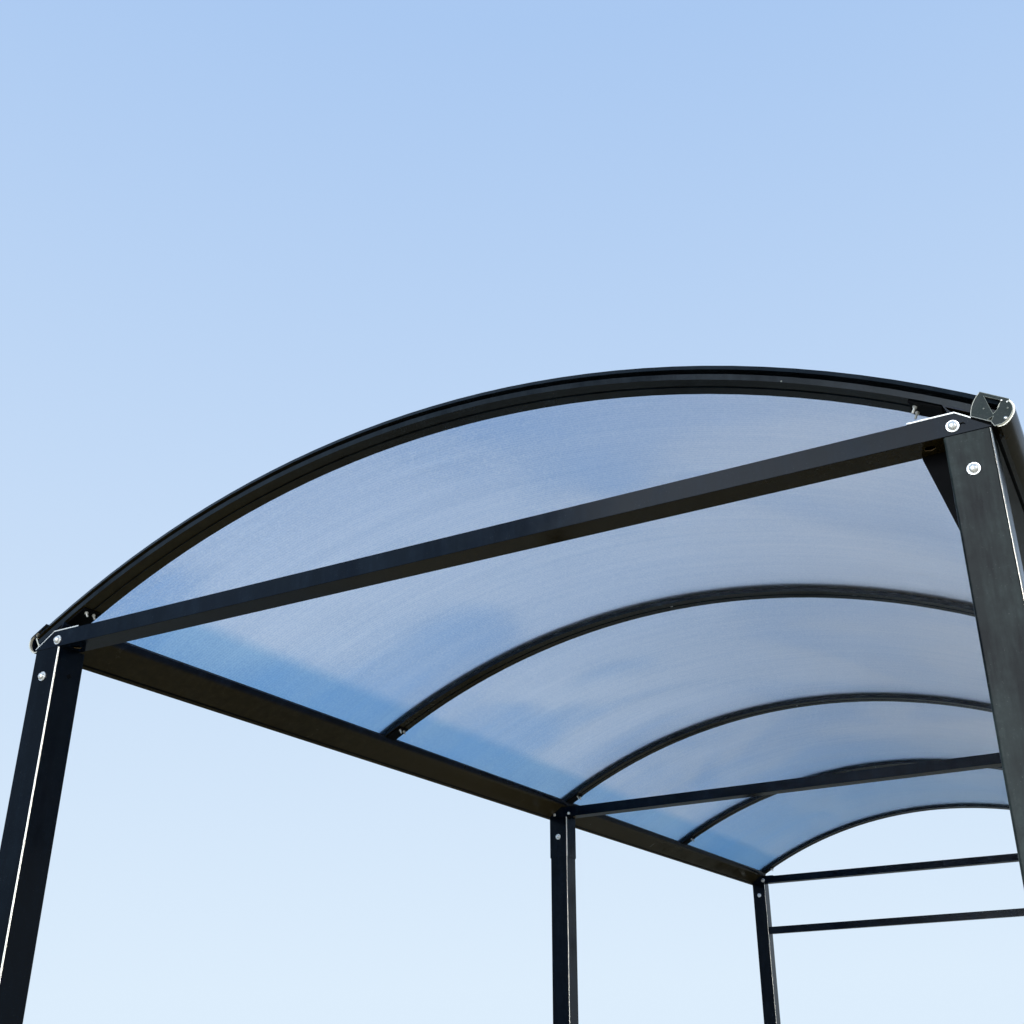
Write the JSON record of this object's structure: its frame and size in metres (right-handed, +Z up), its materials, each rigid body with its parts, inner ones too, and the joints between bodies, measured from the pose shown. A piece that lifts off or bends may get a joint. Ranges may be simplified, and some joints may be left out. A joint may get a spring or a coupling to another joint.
{
  "type": "open bike shelter",
  "caption": "Open bike shelter: box posts and tie beams carry extruded eaves beams and a barrel roof of clear twin-wall sheets clamped between arched bars.",
  "frame": {"origin": "middle of the footprint, at ground level", "axes": "+X across the shelter to the right, +Y along it towards the far end with the low rail, +Z up"},
  "size_m": [2.4, 5.42, 2.5567],
  "materials": {
    "frame_coat": "gloss black powder coat on steel",
    "eaves_coat": "satin black powder coat on aluminium",
    "bar_coat": "satin black powder coat on aluminium",
    "end_cap_coat": "dull grey-black coat with bare cut edges",
    "clear_sheet": "clear twin-wall polycarbonate",
    "closure_rubber": "black gasket",
    "zinc_fixings": "bright zinc plate"
  },
  "bodies": {
    "root": {"post_near_left": "frame_coat", "post_near_right": "frame_coat", "tie_beam_near": "frame_coat", "saddle_plates_near": "frame_coat", "gusset_near_right": "frame_coat", "post_middle_left": "frame_coat", "post_middle_right": "frame_coat", "tie_beam_middle": "frame_coat", "saddle_plates_middle": "frame_coat", "gusset_middle_right": "frame_coat", "post_far_left": "frame_coat", "post_far_right": "frame_coat", "tie_beam_far": "frame_coat", "saddle_plates_far": "frame_coat", "gusset_far_right": "frame_coat", "low_rail_far": "frame_coat", "post_sleeve_middle_left": "frame_coat", "eaves_beam_near_left": "eaves_coat", "eaves_beam_far_left": "eaves_coat", "closure_strips_left": "closure_rubber", "bar_cleats_left": "frame_coat", "post_sleeve_middle_right": "frame_coat", "eaves_beam_near_right": "eaves_coat", "eaves_beam_far_right": "eaves_coat", "closure_strips_right": "closure_rubber", "bar_cleats_right": "frame_coat", "end_cap_near_right": "end_cap_coat", "end_cap_far_right": "end_cap_coat", "end_cap_far_left": "end_cap_coat", "arch_bar_near": "bar_coat", "arch_cap_near": "bar_coat", "arch_bar_second": "bar_coat", "arch_cap_second": "bar_coat", "arch_bar_middle": "bar_coat", "arch_cap_middle": "bar_coat", "arch_bar_fourth": "bar_coat", "arch_cap_fourth": "bar_coat", "arch_bar_far": "bar_coat", "arch_cap_far": "bar_coat", "roof_sheet_1": "clear_sheet", "roof_sheet_2": "clear_sheet", "roof_sheet_3": "clear_sheet", "roof_sheet_4": "clear_sheet"}
  },
  "joints": []
}
